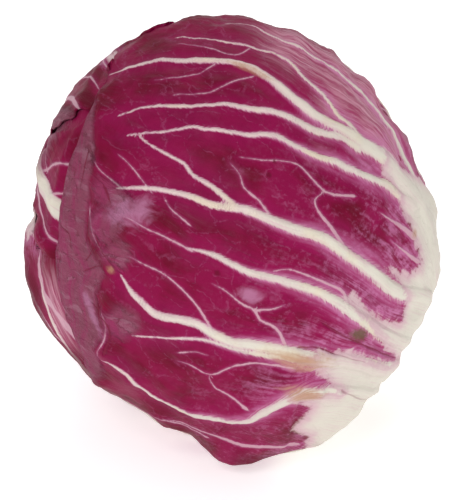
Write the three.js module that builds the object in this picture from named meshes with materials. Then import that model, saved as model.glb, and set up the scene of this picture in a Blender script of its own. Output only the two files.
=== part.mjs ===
// A head of round red radicchio, lying on its side as picked. Millimetres, +Z up.
// The origin is the middle of the small flat spot that the head rests on.
//
// Each leaf is drawn flat, as an outline and its ribs, and then wrapped round the head. The leaves
// are listed from the outermost inwards, and each one is pressed down by the leaves that lie on it.
import * as THREE from "three";

const { PI, sin, cos, acos, atan2, hypot, exp, min, max, abs, floor, sign } = Math;
const DEGREE = PI / 180;

// The head, seen along the axis that its widest leaf faces.
const CENTRE_HEIGHT = 53; // from the flat spot to the middle of the head
const FACE_TILT = 30 * DEGREE; // the face axis looks up from level by this, towards -Y
const FACE_DEPTH = 54; // from the middle of the head to its face
const OUTLINE_RADII = [
  54.1, 52.5, 53, 56.5, 58.7, 59.2, 58.7, 56.5, 53.6, 54.4, 53.9, 53.3, 57, 60.9, 57, 54.9,
]; // evenly spaced round the face axis, from +X up over the top
const STEM_TURN = -40 * DEGREE; // where the stem points, round the face axis from +X
const STEM_BACK = 12 * DEGREE; // and how far behind the outline
const LUMP_HEIGHT = 0.5; // gentle unevenness of the packed leaves
const STEM_DIP = 4; // how far the head is drawn in round its stem
const STEM_DIP_WIDTH = 18 * DEGREE;
const FLAT_EDGE = 1.6; // softens the edge of the flat spot

// Every leaf.
const WRAP_RADIUS = 55.5; // turns a flat leaf's millimetres into angles round the head
const BLADE = 0.9;
const FOOT_THICKNESS = 2; // what the middle of a leaf gains towards its foot
const FOOT_START = -30; // the thickening runs from here down to the foot
const FOOT_LENGTH = 40;
const GAP = 0.55; // clear space between one leaf and the next
const TUCK = 4; // a leaf stays pressed down this far past the margin above it
const RISE = 12; // and then takes this far to rise again
const WAVE_LENGTH = 27; // of a wavy margin
const WAVE_REACH = 13; // from the margin inwards
const WAVE_SLANT = 0.4; // how much a wave also runs across the leaf
const WAVE_START = 40; // the margin lies flat at the foot and waves fully from here on
const RIB_START = 8; // a rib comes up over this length
const RIB_END = 12; // and dies away over this one
const RIB_TAPER = 0.5; // the share of its height that a rib loses on the way
const MARGIN_STEP = 3; // between the points that stand for a leaf's margin
const TABLE_CLEARANCE = 0.3; // ribs and waves stay this far above the table
const TABLE_FADE = 8; // and fade out over this height

// The inside of the head, with the cut stem.
const HEART_CLEARANCE = 1;
const STEM_RADIUS = 11.3 * DEGREE; // half-angle of the stem, from the middle of the head
const STEM_WALL = 0.1 * DEGREE; // the stem's sides run in over this
const STEM_RECESS = 1; // the cut lies this far inside the head's own surface
const HEART_START = 14 * DEGREE; // the first ring of points beyond the stem
const HEART_RINGS = 22;
const HEART_SECTORS = 36;
const HEART_FOLD = 0.7; // height of the steps where its leaves overlap
const HEART_FOLDS = 5;
const HEART_COLOUR = 0xe6dccb;

// Leaves, from the outermost inwards. "faces" is where the middle of the leaf lies: its angle from
// the stem and round the stem. Outline rows are [along the leaf, left margin, right margin], and a
// rib's points are [along, across]. A fan is a midrib with evenly spread ribs on both sides.
const LEAVES = [
  {
    name: "front_leaf",
    faces: [92, 0],
    rows: 27,
    outline: [
      [-77, -15, 34], [-69, -24, 42], [-62, -34, 47], [-56, -46, 51], [-50, -60, 56], [-42, -68, 61],
      [-24, -72, 71], [0, -75, 82], [12, -75, 86], [21, -68, 87], [38, -58, 84], [53, -43, 78],
      [60, -26, 73], [65, -9, 68], [70, 1, 62], [77, 10, 52], [84, 19, 38],
    ],
    ribs: [
      { width: [4, 2.5], height: 0.9, fills: 1, path: [[-56, -40], [-38, -50], [-28, -62], [-13, -69]] },
      {
        width: [7, 3], height: 1.4, fills: 1,
        path: [[-74, -10], [-42, -18], [-34, -25], [-29, -38], [-21, -50], [-6, -58], [15, -58]],
      },
      { width: [7, 3], height: 1.2, fills: 3, path: [[-75, 0], [-35, -7], [-22, -14], [-1, -23], [30, -32]] },
      { width: [6, 2.5], height: 1, fills: 2, path: [[-73, 16], [-52, 10], [-11, 2], [8, -7], [42, -17]] },
      { width: [7, 3], height: 1.4, fills: 2, path: [[-70, 25], [-41, 20], [-8, 14], [21, 5], [45, -11]] },
      { width: [5, 2.5], height: 1, fills: 2, path: [[-40, 42], [-20, 43], [3, 35], [18, 28], [49, 3]] },
      { width: [5, 2.5], height: 1, fills: 1, path: [[-12, 46], [2, 43], [27, 32], [40, 22], [60, 3]] },
      {
        width: [8, 3], height: 1.6, fills: 1,
        path: [[-70, 32], [-39, 43], [-20, 47], [2, 45], [31, 45], [50, 35], [73, 17]],
      },
      { width: [4, 2], height: 0.7, fills: 1, path: [[-40, 47], [-17, 51], [2, 56], [25, 55], [57, 50]] },
      { width: [4, 2], height: 0.7, fills: 1, path: [[-44, 52], [-12, 62], [16, 62], [39, 60], [56, 56]] },
    ],
    lastFills: 1,
    creases: [
      {
        width: 5, height: 1,
        path: [[15, -58], [19, -49], [30, -32], [41, -28], [55, -11], [61, -1], [65, 7], [73, 15]],
      },
      { width: 6, height: 1.2, path: [[-42, -18], [-34, -25], [-29, -38], [-21, -50], [-6, -58], [15, -58]] },
    ],
    curls: [
      { at: [-50, -58], size: [13, 9], height: 4 },
      { at: [27, -64], size: [13, 6], height: 1.8 },
    ],
    wave: { height: 1.6, start: 0.4 },
    colour: 0x8c1a4b,
  },
  {
    name: "low_leaf",
    faces: [92, 105],
    rows: 24,
    outline: [
      [-77, -14, 20], [-60, -34, 40], [-41, -50, 52], [-20, -60, 56], [0, -66, 56], [20, -64, 50],
      [36, -55, 38], [47, -40, 28], [54, -20, 14],
    ],
    fan: { sideRibs: 2, fills: 2 },
    curls: [{ at: [36, 7], size: [15, 9], height: 3.4 }],
    wave: { height: 2, start: 2 },
    colour: 0x7d1642,
  },
  {
    name: "back_leaf",
    faces: [92, 178],
    rows: 23,
    outline: [
      [-77, -18, 16], [-60, -36, 36], [-40, -54, 52], [-20, -64, 58], [0, -68, 60], [20, -66, 58],
      [40, -58, 50], [60, -46, 32], [75, -34, 15], [88, -27, 13], [98, -18, 8],
    ],
    fan: { sideRibs: 2, fills: 2 },
    curls: [{ at: [66, 22], size: [12, 7], height: 2 }],
    wave: { height: 2.2, start: 1 },
    colour: 0x86194a,
  },
  {
    name: "top_leaf",
    faces: [92, -115],
    rows: 19,
    outline: [
      [-77, -18, 18], [-60, -38, 38], [-40, -54, 54], [-20, -64, 62], [0, -68, 64], [20, -66, 62],
      [40, -58, 54], [60, -42, 40], [74, -24, 22], [80, -10, 9],
    ],
    fan: { sideRibs: 2, fills: 2 },
    curls: [],
    wave: { height: 2, start: 3 },
    colour: 0x8f1c50,
  },
  {
    name: "inner_side_leaf",
    faces: [150, 62],
    turn: 41,
    rows: 12,
    outline: [[-38, -16, 18], [-24, -24, 26], [-6, -27, 30], [12, -24, 28], [24, -17, 20], [32, -8, 9]],
    fan: { sideRibs: 1, fills: 1 },
    curls: [],
    wave: { height: 0.8, start: 0 },
    colour: 0x9b2a5c,
  },
];
const FAN_WIDTH = [7, 2.4];
const FAN_HEIGHT = 1.3;
const SIDE_WIDTH = [4.5, 2];
const SIDE_HEIGHT = 0.9;
const SIDE_SPREAD = [0.5, 1.1]; // how far out the ribs of a fan stand, at the foot and at the tip
const ROUGHNESS = 0.45;
const COLUMN_SPACING = 0.45; // the least distance between two lines of points on a leaf

const clamp = (value, low, high) => min(max(value, low), high);
const mix = (a, b, share) => a + (b - a) * share;
const smooth = (value) => {
  const t = clamp(value, 0, 1);
  return t * t * (3 - 2 * t);
};

// --- The head as a ball-like surface: a radius for every direction from its middle.

const faceRight = new THREE.Vector3(1, 0, 0);
const faceUp = new THREE.Vector3(0, sin(FACE_TILT), cos(FACE_TILT));
const faceOut = new THREE.Vector3(0, -cos(FACE_TILT), sin(FACE_TILT));
const stem = new THREE.Vector3()
  .addScaledVector(faceRight, cos(STEM_BACK) * cos(STEM_TURN))
  .addScaledVector(faceUp, cos(STEM_BACK) * sin(STEM_TURN))
  .addScaledVector(faceOut, -sin(STEM_BACK));
const stemFront = faceOut.clone().addScaledVector(stem, -faceOut.dot(stem)).normalize();
const stemSide = new THREE.Vector3().crossVectors(stem, stemFront);

// The direction at an angle from the stem and an angle round it.
function direction(fromStem, roundStem) {
  return new THREE.Vector3()
    .addScaledVector(stem, cos(fromStem))
    .addScaledVector(stemFront, sin(fromStem) * cos(roundStem))
    .addScaledVector(stemSide, sin(fromStem) * sin(roundStem));
}

// A smooth closed curve through evenly spaced values, read at an angle.
function roundCurve(values, angle) {
  const count = values.length;
  const place = ((angle / (2 * PI)) * count + count) % count;
  const first = floor(place);
  const t = place - first;
  const [a, b, c, d] = [-1, 0, 1, 2].map((step) => values[(first + step + count) % count]);
  return b + 0.5 * t * (c - a + t * (2 * a - 5 * b + 4 * c - d + t * (3 * (b - c) + d - a)));
}

function headRadius(way) {
  const right = way.dot(faceRight);
  const up = way.dot(faceUp);
  const out = way.dot(faceOut);
  const outline = roundCurve(OUTLINE_RADII, atan2(up, right));
  let radius = 1 / hypot(hypot(right, up) / outline, out / FACE_DEPTH);
  radius += LUMP_HEIGHT * (sin(5 * way.x + 2) * sin(6 * way.z + 1) + sin(7 * way.y + 4 * way.x));
  radius -= STEM_DIP * exp(-((way.angleTo(stem) / STEM_DIP_WIDTH) ** 2));
  return way.z < 0 ? settled(radius, CENTRE_HEIGHT / -way.z) : radius;
}

// The head's radius where it lies on the table: flat there, with a soft edge round it.
function settled(radius, table) {
  const above = table - radius;
  if (above >= FLAT_EDGE) return radius;
  return above <= -FLAT_EDGE ? table : table - (above + FLAT_EDGE) ** 2 / (4 * FLAT_EDGE);
}

// --- Flat leaves.

// The value at a place along a list of [place, value, ...] rows, smoothly between them.
function along(rows, place, column = 1) {
  const last = rows.length - 1;
  if (place <= rows[0][0]) return rows[0][column];
  if (place >= rows[last][0]) return rows[last][column];
  const next = rows.findIndex((row) => row[0] > place);
  const slope = (i) => {
    const before = rows[max(i - 1, 0)];
    const after = rows[min(i + 1, last)];
    return (after[column] - before[column]) / (after[0] - before[0]);
  };
  const [start, value] = [rows[next - 1][0], rows[next - 1][column]];
  const span = rows[next][0] - start;
  const t = (place - start) / span;
  const rise = rows[next][column] - value;
  const [in0, in1] = [slope(next - 1) * span, slope(next) * span];
  return value + t * (in0 + t * (3 * rise - 2 * in0 - in1 + t * (in0 + in1 - 2 * rise)));
}

function distanceToLine(x, y, line) {
  let nearest = Infinity;
  for (let i = 1; i < line.length; i++) {
    const [ax, ay] = line[i - 1];
    const [dx, dy] = [line[i][0] - ax, line[i][1] - ay];
    const t = clamp(((x - ax) * dx + (y - ay) * dy) / (dx * dx + dy * dy || 1), 0, 1);
    nearest = min(nearest, hypot(x - ax - t * dx, y - ay - t * dy));
  }
  return nearest;
}

// The ribs of a leaf that has a fan: each keeps its share of the leaf's half width.
function fanRibs({ fan, outline }) {
  const [foot, tip] = [outline[0][0], outline.at(-1)[0]];
  const path = (share) =>
    outline.map(([y, left, right]) => {
      const spread = mix(...SIDE_SPREAD, (y - foot) / (tip - foot));
      const middle = (left + right) / 2;
      return [y, middle + share * spread * (right - middle)];
    });
  const ribs = [];
  for (let i = -fan.sideRibs; i <= fan.sideRibs; i++) {
    const share = i / (fan.sideRibs + 1);
    ribs.push({
      path: path(share),
      width: i ? SIDE_WIDTH : FAN_WIDTH,
      height: i ? SIDE_HEIGHT : FAN_HEIGHT,
      fills: fan.fills,
    });
  }
  return ribs;
}

// Everything about a leaf that its own points don't change.
function prepareLeaf(leaf) {
  const middle = direction(leaf.faces[0] * DEGREE, leaf.faces[1] * DEGREE);
  const away = middle.clone().multiplyScalar(middle.dot(stem)).sub(stem).normalize();
  away.applyAxisAngle(middle, (leaf.turn ?? 0) * DEGREE);
  const side = new THREE.Vector3().crossVectors(away, middle);
  const [foot, tip] = [leaf.outline[0][0], leaf.outline.at(-1)[0]];
  const margin = [];
  for (const edge of [1, 2]) {
    const line = [];
    for (let y = foot; y <= tip; y += MARGIN_STEP) line.push([along(leaf.outline, y, edge), y]);
    margin.push(...(edge === 1 ? line : line.reverse()));
  }
  margin.push(margin[0]);
  return { creases: [], ...leaf, ribs: leaf.ribs ?? fanRibs(leaf), middle, away, side, foot, tip, margin };
}

function wrap(leaf, x, y) {
  const length = hypot(x, y);
  const angle = length / WRAP_RADIUS;
  const share = length ? sin(angle) / length : 0;
  return new THREE.Vector3()
    .addScaledVector(leaf.middle, cos(angle))
    .addScaledVector(leaf.side, x * share)
    .addScaledVector(leaf.away, y * share);
}

function unwrap(leaf, way) {
  const angle = acos(clamp(way.dot(leaf.middle), -1, 1));
  const share = angle > 1e-6 ? (WRAP_RADIUS * angle) / sin(angle) : WRAP_RADIUS;
  return [way.dot(leaf.side) * share, way.dot(leaf.away) * share];
}

// How far a point lies outside the leaf's margin, less than zero inside it.
function outside(leaf, x, y) {
  const inside =
    y > leaf.foot && y < leaf.tip && x > along(leaf.outline, y, 1) && x < along(leaf.outline, y, 2);
  return distanceToLine(x, y, leaf.margin) * (inside ? -1 : 1);
}

function bladeThickness(leaf, x, y) {
  const [left, right] = [along(leaf.outline, y, 1), along(leaf.outline, y, 2)];
  const across = min(1, abs(2 * x - left - right) / (right - left));
  return BLADE + FOOT_THICKNESS * smooth((FOOT_START - y) / FOOT_LENGTH) * (1 - across ** 2);
}

// How deep the leaves above press this direction, and how much of it they cover.
function pressed(above, way) {
  let depth = 0;
  let covered = 0;
  for (const leaf of above) {
    const [x, y] = unwrap(leaf, way);
    const cover = 1 - smooth((outside(leaf, x, y) - TUCK) / RISE);
    depth += cover * (bladeThickness(leaf, x, y) + GAP);
    covered = max(covered, cover);
  }
  return { depth, covered };
}

function ribHeight(rib, x, y) {
  const [start, end] = [rib.path[0][0], rib.path.at(-1)[0]];
  const share = clamp((y - start) / (end - start), 0, 1);
  const half = mix(...rib.width, share) / 2;
  const across = abs(x - along(rib.path, y)) / half;
  const fade = smooth((end - y) / RIB_END) * smooth((y - start) / RIB_START + 1);
  return rib.height * max(0, 1 - across * across) * fade * (1 - RIB_TAPER * share);
}

// How far the blade lifts off the head: folds, curled places and the wavy margin.
function lift(leaf, x, y) {
  let height = 0;
  for (const { path, width, height: fold } of leaf.creases) {
    const line = path.map(([py, px]) => [px, py]);
    height += fold * exp(-((distanceToLine(x, y, line) / width) ** 2));
  }
  for (const { at, size, height: curl } of leaf.curls)
    height += curl * exp(-(((y - at[0]) / size[0]) ** 2) - ((x - at[1]) / size[1]) ** 2);
  const edge = smooth(1 + outside(leaf, x, y) / WAVE_REACH) * smooth((y - leaf.foot) / WAVE_START);
  const turn = (2 * PI * (y + WAVE_SLANT * abs(x))) / WAVE_LENGTH + leaf.wave.start * sign(x || 1);
  return height + leaf.wave.height * edge * (0.5 + 0.5 * sin(turn));
}

// The leaf's outer and inner points in one direction.
function leafPoints(leaf, above, x, y) {
  const way = wrap(leaf, x, y);
  const { depth, covered } = pressed(above, way);
  const seated = headRadius(way) - depth;
  const height = CENTRE_HEIGHT + way.z * seated;
  const free = (1 - covered) * (way.z < 0 ? smooth((height - TABLE_CLEARANCE) / TABLE_FADE) : 1);
  const raised = seated + free * lift(leaf, x, y);
  const relief = free * max(...leaf.ribs.map((rib) => ribHeight(rib, x, y)));
  return [raised + relief, raised - bladeThickness(leaf, x, y)].map((radius) => place(way, radius));
}

function place(way, radius) {
  return [way.x * radius, way.y * radius, CENTRE_HEIGHT + way.z * radius];
}

// Lines of points across a leaf at one place along it: three on each rib and some between ribs.
function columns(leaf, y) {
  const left = along(leaf.outline, y, 1);
  const right = along(leaf.outline, y, 2);
  const share = (y - leaf.foot) / (leaf.tip - leaf.foot);
  const found = [left];
  const fill = (next, count) => {
    const from = found.at(-1);
    for (let i = 1; i <= count; i++) found.push(mix(from, next, i / (count + 1)));
  };
  for (const rib of leaf.ribs) {
    const half = mix(...rib.width, share) / 2;
    const crest = along(rib.path, y);
    fill(crest - half, rib.fills);
    found.push(crest - half, crest, crest + half);
  }
  fill(right, leaf.lastFills ?? leaf.fan.fills);
  found.push(right);
  return spread(found, left, right);
}

// Pushes neighbours apart until each is a little further across than the one before.
function spread(places, left, right) {
  const spacing = min(COLUMN_SPACING, (right - left) / (places.length + 1));
  const last = places.length - 1;
  const result = places.map((x) => clamp(x, left, right));
  for (let i = 1; i <= last; i++) result[i] = max(result[i], result[i - 1] + spacing);
  result[last] = right;
  for (let i = last - 1; i > 0; i--) result[i] = min(result[i], result[i + 1] - spacing);
  return result;
}

// --- Meshes.

// A closed mesh from two grids of points, outer and inner, split alike and joined round the rim.
function sheet(outer, inner) {
  const [rows, count] = [outer.length, outer[0].length];
  const positions = [...outer.flat(), ...inner.flat()].flat();
  const half = rows * count;
  const faces = [];
  for (let j = 1; j < rows; j++)
    for (let i = 1; i < count; i++) {
      const d = j * count + i;
      const [a, b, c] = [d - count - 1, d - count, d - 1];
      faces.push(a, b, d, a, d, c);
      faces.push(half + a, half + d, half + b, half + a, half + c, half + d);
    }
  const rim = [];
  for (let i = 0; i < count - 1; i++) rim.push(i);
  for (let j = 0; j < rows - 1; j++) rim.push(j * count + count - 1);
  for (let i = count - 1; i > 0; i--) rim.push((rows - 1) * count + i);
  for (let j = rows - 1; j > 0; j--) rim.push(j * count);
  rim.forEach((a, i) => {
    const b = rim[(i + 1) % rim.length];
    faces.push(a, half + a, half + b, a, half + b, b);
  });
  return geometry(positions, faces);
}

function geometry(positions, faces) {
  const made = new THREE.BufferGeometry();
  made.setAttribute("position", new THREE.Float32BufferAttribute(positions, 3));
  made.setIndex(faces);
  made.computeVertexNormals();
  return made;
}

function leafMesh(leaf, above) {
  const outer = [];
  const inner = [];
  for (let j = 0; j < leaf.rows; j++) {
    const y = mix(leaf.foot, leaf.tip, j / (leaf.rows - 1));
    const points = columns(leaf, y).map((x) => leafPoints(leaf, above, x, y));
    outer.push(points.map((point) => point[0]));
    inner.push(points.map((point) => point[1]));
  }
  return named(leaf.name, sheet(outer, inner), leaf.colour);
}

// The tight inner leaves and the cut stem, grown as one body. Its surface steps where leaves overlap.
function heartMesh(leaves) {
  const angles = [STEM_RADIUS / 2, STEM_RADIUS, STEM_RADIUS + STEM_WALL];
  for (let i = 0; i < HEART_RINGS; i++) angles.push(mix(HEART_START, PI, i / HEART_RINGS));
  const positions = [...heartPoint(leaves, 0, 0)];
  for (const angle of angles)
    for (let i = 0; i < HEART_SECTORS; i++)
      positions.push(...heartPoint(leaves, angle, (2 * PI * i) / HEART_SECTORS));
  positions.push(...heartPoint(leaves, PI, 0));
  const faces = [];
  const rings = angles.length;
  const at = (ring, i) => 1 + ring * HEART_SECTORS + (i % HEART_SECTORS);
  const end = 1 + rings * HEART_SECTORS;
  for (let i = 0; i < HEART_SECTORS; i++) {
    faces.push(0, at(0, i), at(0, i + 1));
    for (let ring = 1; ring < rings; ring++) {
      const [a, b, c, d] = [at(ring - 1, i), at(ring, i), at(ring, i + 1), at(ring - 1, i + 1)];
      faces.push(a, b, c, a, c, d);
    }
    faces.push(end, at(rings - 1, i + 1), at(rings - 1, i));
  }
  return named("heart_and_stem", geometry(positions, faces), HEART_COLOUR);
}

function heartPoint(leaves, fromStem, roundStem) {
  const way = direction(fromStem, roundStem);
  if (fromStem <= STEM_RADIUS) return place(way, headRadius(way) - STEM_RECESS);
  const { depth, covered } = pressed(leaves, way);
  const turns = (roundStem / (2 * PI)) * HEART_FOLDS + fromStem;
  const fold = HEART_FOLD * (1 - covered) * (turns - floor(turns));
  return place(way, headRadius(way) - depth - HEART_CLEARANCE - fold);
}

function named(name, made, colour) {
  const material = new THREE.MeshStandardMaterial({ color: colour, roughness: ROUGHNESS, metalness: 0 });
  const mesh = new THREE.Mesh(made, material);
  mesh.name = name;
  return mesh;
}

const head = new THREE.Group();
const leaves = LEAVES.map(prepareLeaf);
leaves.forEach((leaf, i) => head.add(leafMesh(leaf, leaves.slice(0, i))));
head.add(heartMesh(leaves));

export default head;
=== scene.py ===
# A head of round red radicchio, lying on its side. Lengths are in millimetres until a mesh is made.
import math

import bmesh
import bpy
import numpy as np
from mathutils import Matrix


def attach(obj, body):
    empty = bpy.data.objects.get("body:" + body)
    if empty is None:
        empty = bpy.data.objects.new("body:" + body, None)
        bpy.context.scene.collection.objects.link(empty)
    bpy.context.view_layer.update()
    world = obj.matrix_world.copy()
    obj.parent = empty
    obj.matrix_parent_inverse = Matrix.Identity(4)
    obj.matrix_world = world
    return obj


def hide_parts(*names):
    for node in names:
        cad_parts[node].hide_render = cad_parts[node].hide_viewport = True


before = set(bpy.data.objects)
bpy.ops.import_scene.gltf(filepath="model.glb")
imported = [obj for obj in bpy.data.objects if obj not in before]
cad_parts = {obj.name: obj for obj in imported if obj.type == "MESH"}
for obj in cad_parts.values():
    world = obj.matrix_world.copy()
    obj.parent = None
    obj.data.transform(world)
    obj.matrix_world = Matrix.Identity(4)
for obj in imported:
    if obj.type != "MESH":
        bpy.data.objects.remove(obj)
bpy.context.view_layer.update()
millimetre = 0.001  # in the scene's metres
print("frame loaded:", sorted(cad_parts))

# The shape of the whole head, as a radius for every direction from its middle.
head = {
    "centreHeight": 53,  # above the table
    "faceTilt": 30,  # degrees that the widest leaf looks up from level
    "faceDepth": 54,
    "outlineRadii": [
        54.1, 52.5, 53, 56.5, 58.7, 59.2, 58.7, 56.5, 53.6, 54.4, 53.9, 53.3, 57, 60.9, 57, 54.9,
    ],  # round the face, from its right side up over the top
    "stemTurn": -40,  # where the stem points, round the face
    "stemBack": 12,
    "lumpHeight": 0.5,
    "stemDip": 4,  # the head is drawn in round the stem
    "stemDipWidth": 18,
    "flatEdge": 1.6,  # softness of the edge of the flat spot
    "wrapRadius": 55.5,  # turns a flat leaf's millimetres into angles round the head
}

view = {
    "distance": 1100,
    "field": 134,  # height of what the camera sees at the head
    "aim": [-1.47, -3.75],  # across and up from the middle of the head
    "sensor": 36,
    "pixels": [461, 500],  # across and down
    "searched": [80, -20],  # the head lies between these depths, in front of and behind the aim
    "searchSteps": 4000,
}

# How every leaf lies, wherever it sits in the head.
wrapped = {
    "blade": 0.9,
    "thinEdge": 0.4,  # thickness of the margin
    "thinReach": 5,
    "footThickness": 2,  # what the middle of a leaf gains towards its foot
    "footStart": -30,
    "footLength": 40,
    "gap": 0.45,
    "tuck": 1,  # a leaf stays pressed down this far past the margin above it
    "rise": 5,  # and then takes this far to rise again
    "waveLength": 27,
    "waveReach": 13,
    "waveSlant": 0.4,
    "waveStart": 40,
    "frillLength": 9,
    "frillReach": 5,
    "frillHeight": 0.15,
    "tableClearance": 0.3,
    "tableFade": 8,
    "marginStep": 3,
    "jag": 0.3,  # unevenness of the margin
    "tipRound": 5,
    "puff": 0.45,  # how far the blade bulges between its ribs
    "puffReach": 7,
    "lumps": [[17, 0.35], [7, 0.13], [3.2, 0.05]],  # wavelength and height of its unevenness
    "settle": 0.6,  # takes the middle height of lumps, ribs and bulges back down
    "rolled": 0.6,  # the share of its lift that a margin loses, so that it hugs the leaf below
    "rolledReach": 3,
    "leastRib": 1.3,  # a rib is modelled no thinner than this, and the skin shows its true width
    "ribThinning": 0.7,  # below 1, a rib loses most of its width near the foot
    "ribSpread": 1.25,  # of its relief, against its half width
    "endSlope": 0.6,  # how fast a vein's half width falls past its ends
    "branchGap": 4,  # a vein that starts this near another one is its branch
    "calm": [0.75, 15],  # share of the waves lost past calmFrom, and the distance it takes
    "stepReach": 14,
    "tipStart": 0.86,  # share of the length where the tip begins to round
    "tipRagged": [0.12, 8],  # height and wavelength
    "longRib": 4,  # streaks follow the ribs that are at least this wide at the foot
    "streakReach": 15,
    "streakGap": 1.5,
    "dull": [6, 2, 14],  # how the band of waxy bloom and painted grazing reflection comes on: width, and start and length along the leaf
}


def clamp(value, low, high):
    return np.minimum(np.maximum(value, low), high)


def mix(a, b, share):
    return a + (b - a) * share


def smooth(value):
    t = clamp(value, 0, 1)
    return t * t * (3 - 2 * t)


def unit(vector):
    return vector / np.linalg.norm(vector)


tilt, stemTurn, stemBack = (math.radians(head[key]) for key in ("faceTilt", "stemTurn", "stemBack"))
faceRight = np.array([1.0, 0.0, 0.0])
faceUp = np.array([0.0, math.sin(tilt), math.cos(tilt)])
faceOut = np.array([0.0, -math.cos(tilt), math.sin(tilt)])
stem = math.cos(stemBack) * (math.cos(stemTurn) * faceRight + math.sin(stemTurn) * faceUp)
stem = stem - math.sin(stemBack) * faceOut
stemFront = unit(faceOut - faceOut @ stem * stem)
stemSide = np.cross(stem, stemFront)


def direction(fromStem, roundStem):
    front, side = np.sin(fromStem) * np.cos(roundStem), np.sin(fromStem) * np.sin(roundStem)
    return np.multiply.outer(np.cos(fromStem), stem) + np.multiply.outer(front, stemFront) + (
        np.multiply.outer(side, stemSide)
    )


def stemAngles(way):
    fromStem = np.arccos(clamp(way @ stem, -1, 1))
    return fromStem, np.arctan2(way @ stemSide, way @ stemFront)


def curveThrough(a, b, c, d, t):
    return b + 0.5 * t * (c - a + t * (2 * a - 5 * b + 4 * c - d + t * (3 * (b - c) + d - a)))


def headRadius(way):
    right, up, out = way @ faceRight, way @ faceUp, way @ faceOut
    radii = np.array(head["outlineRadii"])
    place = np.arctan2(up, right) / math.tau * len(radii) % len(radii)
    first = np.floor(place).astype(int)
    around = [radii[(first + step) % len(radii)] for step in (-1, 0, 1, 2)]
    outline = curveThrough(*around, place - first)
    radius = 1 / np.hypot(np.hypot(right, up) / outline, out / head["faceDepth"])
    x, y, z = way.T
    radius += head["lumpHeight"] * (np.sin(5 * x + 2) * np.sin(6 * z + 1) + np.sin(7 * y + 4 * x))
    fromStem = np.degrees(stemAngles(way)[0])
    radius -= head["stemDip"] * np.exp(-((fromStem / head["stemDipWidth"]) ** 2))
    table = head["centreHeight"] / np.maximum(-z, 1e-6)
    above, edge = table - radius, head["flatEdge"]
    settled = np.where(above <= -edge, table, table - (above + edge) ** 2 / (4 * edge))
    return np.where((z < 0) & (above < edge), settled, radius)


# Flat leaves. Rows are written [along the leaf, across it]; flat points are (across, along).


def along(rows, place, column=1):
    at, value = np.array([[row[0], row[column]] for row in rows], float).T
    place = clamp(place, at[0], at[-1])
    i = np.minimum(np.searchsorted(at, place, side="right") - 1, len(at) - 2)
    index = np.arange(len(at))
    before, after = np.maximum(index - 1, 0), np.minimum(index + 1, len(at) - 1)
    slope = (value[after] - value[before]) / (at[after] - at[before])
    span, rise = at[i + 1] - at[i], value[i + 1] - value[i]
    t = (place - at[i]) / span
    begin, end = slope[i] * span, slope[i + 1] * span
    return value[i] + t * (begin + t * (3 * rise - 2 * begin - end + t * (begin + end - 2 * rise)))


def smoothLine(path, parts=3):
    points = np.array(path, float)[:, ::-1]
    padded = np.vstack([2 * points[0] - points[1], points, 2 * points[-1] - points[-2]])
    spans = zip(padded[:-3], padded[1:-2], padded[2:-1], padded[3:])
    found = [curveThrough(*span, part / parts) for span in spans for part in range(parts)]
    return np.array(found + [points[-1]])


def lineDistance(flat, line):
    nearest = np.full(len(flat), np.inf)
    for start, step in zip(line[:-1], np.diff(line, axis=0)):
        share = clamp((flat - start) @ step / (step @ step + 1e-9), 0, 1)
        gap = flat - start - share[:, None] * step
        nearest = np.minimum(nearest, np.hypot(*gap.T))
    return nearest


def handOf(line, drawn):
    # A branch counts its sides the other way round than the vein it grows from, so that the two sides
    # that face each other have the same sign.
    for parent, hand in drawn:
        gap = np.hypot(*(parent - line[0]).T)
        nearest = min(int(gap.argmin()), len(parent) - 2)
        if gap[nearest] < wrapped["branchGap"]:
            sameWay = (parent[nearest + 1] - parent[nearest]) @ (line[1] - line[0]) > 0
            return -hand if sameWay else hand
    return 1


def veinField(flat, veins, taper=7):
    # For the nearest of these veins: how far each point lies to one side of it, its half width there,
    # and the plain distance. The half width goes below zero past the ends, so that a vein dies away.
    best, side, half, plain = (np.full(len(flat), start) for start in (np.inf, 99.0, -9.0, 99.0))
    drawn = []
    for path, width, *_ in veins:
        line = smoothLine(path)
        hand = handOf(line, drawn)
        drawn.append((line, hand))
        steps = np.diff(line, axis=0)
        lengths = np.hypot(*steps.T)
        starts = np.concatenate([[0], np.cumsum(lengths)])
        total = starts[-1]
        fade = min(taper, total / 2)
        for i, length in enumerate(lengths):
            ahead = steps[i] / length
            low, high = (-np.inf if i == 0 else 0), (np.inf if i == len(lengths) - 1 else length)
            share = clamp((flat - line[i]) @ ahead, low, high)
            gap = flat - line[i] - share[:, None] * ahead
            distance = np.hypot(*gap.T)
            place = starts[i] + share
            thinned = clamp(place / total, 0, 1) ** wrapped["ribThinning"]
            reach = mix(width[0], width[1], thinned) / 2
            reach = reach - width[1] / 2 * np.maximum(0, place - total + fade) / fade
            past = np.maximum(0, -place) + np.maximum(0, place - total)
            reach = reach - wrapped["endSlope"] * past
            cross = ahead[0] * gap[:, 1] - ahead[1] * gap[:, 0]
            better = distance - reach < best
            best = np.where(better, distance - reach, best)
            side = np.where(better, np.where(cross < 0, -hand, hand) * distance, side)
            half = np.where(better, reach, half)
            plain = np.where(better, distance, plain)
    return side, half, plain


def ripples(points, wavelength, seed, waves=9):
    # Seeded unevenness between about -1 and 1.
    draw = np.random.default_rng(seed)
    total = np.zeros(len(points))
    for _ in range(waves):
        heading = draw.normal(size=points.shape[1])
        heading *= math.tau / wavelength / np.linalg.norm(heading) * draw.uniform(0.7, 1.3)
        total += np.sin(points @ heading + draw.uniform(0, math.tau))
    return total / math.sqrt(waves)


def withinOutline(flat, outline):
    # How far inside a closed outline each point lies, less than zero outside it.
    line = np.array(outline + outline[:1], float)[:, ::-1]
    inside = np.zeros(len(flat), bool)
    x, y = flat.T
    for (ax, ay), (bx, by) in zip(line[:-1], line[1:]):
        crosses = (ay > y) != (by > y)
        inside ^= crosses & (x < ax + (bx - ax) * (y - ay) / (by - ay or 1))
    return lineDistance(flat, line) * np.where(inside, 1, -1)


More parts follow.
